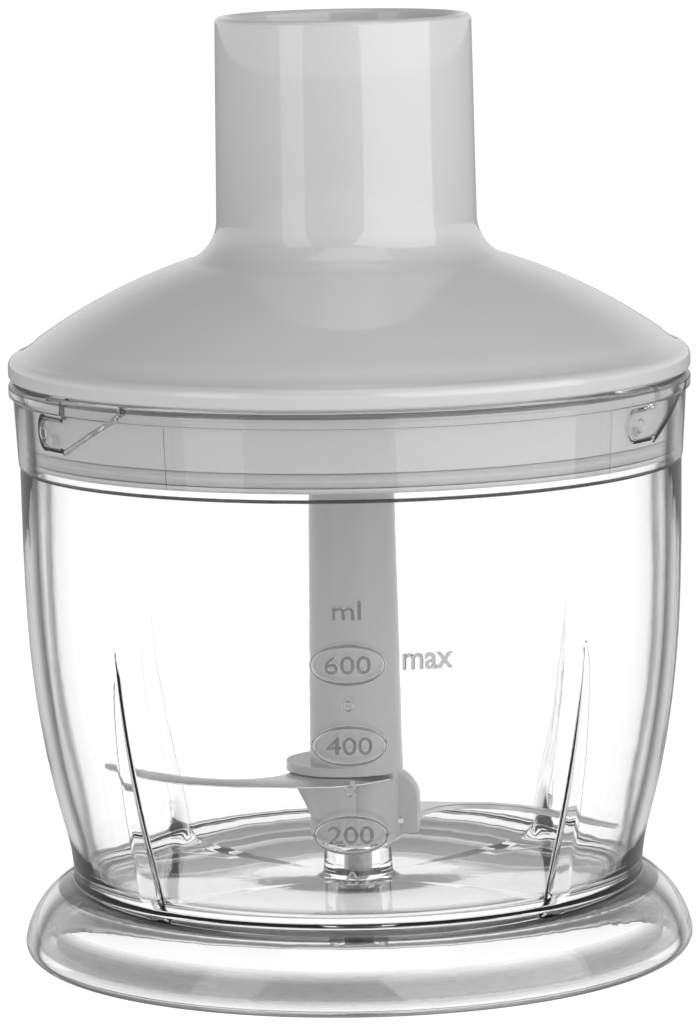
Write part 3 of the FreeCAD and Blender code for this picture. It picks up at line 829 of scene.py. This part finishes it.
# %% World
world = bpy.data.worlds.new("studio")
bpy.context.scene.world = world
room = Finish("studio", owner=world)
up = room.node("SeparateXYZ", values={0: room.node("TexCoord", output="Generated")}, output="Z")
steep = up.maths("ABSOLUTE", up)
through = room.ramp(steep, [(0.0, 1.0), (0.40, 1.0), (0.62, 0.22), (1.0, 0.3)])
mirrored = room.ramp(steep, [(0.0, 0.8), (0.25, 0.75), (0.5, 0.3), (0.7, 0.2), (1.0, 0.18)])
levels = {"Is Glossy Ray": mirrored, "Is Transmission Ray": through, "Is Camera Ray": (1, 1, 1, 1)}
sky = room.node("Background", values={"Color": (0.42, 0.42, 0.42, 1)})
for ray, level in levels.items():
    kind = room.node("LightPath", output=ray)
    sky = room.node("MixShader", values={0: kind, 1: sky, 2: room.node("Background", values={"Color": level})})
room.show(sky)

# %% Table
table_mesh = bpy.data.meshes.new("table")
reach = 9.0
table_mesh.from_pydata([(-reach, -reach, 0), (reach, -reach, 0), (reach, reach, 0), (-reach, reach, 0)],
                       [], [(0, 1, 2, 3)])
table = bpy.data.objects.new("table", table_mesh)
bpy.context.scene.collection.objects.link(table)
table_finish = Finish("table_white")
matt = table_finish.node("BsdfDiffuse", values={"Color": (0.9, 0.9, 0.9, 1)})
lit, mirrored = (table_finish.node("MixShader", values={
    0: 0.8, 1: matt, 2: table_finish.node("Emission", values={"Color": (1, 1, 1, 1), "Strength": level})})
    for level in (1.22, 0.3))
either = table_finish.node("MixShader", values={
    0: table_finish.node("LightPath", output="Is Glossy Ray"), 1: lit, 2: mirrored})
table_finish.show(table_finish.node("MixShader", values={
    0: table_finish.node("LightPath", output="Is Transmission Ray"), 1: either, 2: lit}))
paint(table_finish, "table")
table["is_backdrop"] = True
print("table", 2 * reach, "m square")

# %% [markdown]
# ### Lamps
#
# A big soft box to the right gives the bright band on the collar and the shine on the fillet. A
# narrow one to the left draws the second, weaker band, and a wide one overhead opens up the dome.

# %% Soft boxes
def soft_box(name, bearing, rise, distance, width, height, power):
    """An area lamp on a sphere round the bowl's middle, facing it. Bearing is from the front."""
    a, e = math.radians(bearing), math.radians(rise)
    direction = np.array([math.sin(a) * math.cos(e), -math.cos(a) * math.cos(e), math.sin(e)])
    lamp = bpy.data.lights.new(name, "AREA")
    lamp.shape, lamp.size, lamp.size_y, lamp.energy = "RECTANGLE", width, height, power
    holder = bpy.data.objects.new(name, lamp)
    middle = np.array([0, 0, cad_high.z * 0.6])
    back = Matrix(((1, 0, 0), (0, 1, 0), (0, 0, 1))) @ Matrix.Identity(3)
    turn = Matrix.Rotation(a, 3, "Z") @ Matrix.Rotation(math.pi / 2 - e, 3, "X") @ back
    holder.matrix_world = Matrix.Translation(middle + direction * distance) @ turn.to_4x4()
    bpy.context.scene.collection.objects.link(holder)
    print(f"{name}: {power} W at {bearing} degrees")


soft_box("key_box", 50, 20, 1.5, 2.1, 1.5, 14.0)
soft_box("left_strip", -46, 18, 1.5, 0.6, 1.3, 2.4)
soft_box("top_box", 10, 68, 1.5, 1.1, 1.1, 3.0)

# %% [markdown]
# ### Camera
#
# A long lens from a little over a metre keeps the upright sides nearly parallel. The camera looks
# down a few degrees, so the rim and the foot open into thin ellipses.

# %% Camera
camera_bearing = math.radians(1.2)
camera_distance, camera_height, camera_side = 1.10039, 0.24463, -0.00057
camera_pitch, camera_roll = 0.139757, 0.018370
turn = Matrix.Rotation(camera_bearing, 4, "Z")
view = bpy.data.cameras.new("camera")
view.lens = 192.2
view.sensor_width = 36.0
view.clip_end = 20.0
camera = bpy.data.objects.new("camera", view)
place = turn @ Matrix.Translation((camera_side, -camera_distance, camera_height))
aim = Matrix.Rotation(math.pi / 2 - camera_pitch, 4, "X") @ Matrix.Rotation(-camera_roll, 4, "Z")
camera.matrix_world = place @ aim
bpy.context.scene.collection.objects.link(camera)
bpy.context.scene.camera = camera
bpy.context.scene.view_settings.view_transform = "Standard"
print("camera", [round(v, 3) for v in camera.matrix_world.translation])

low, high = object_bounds()
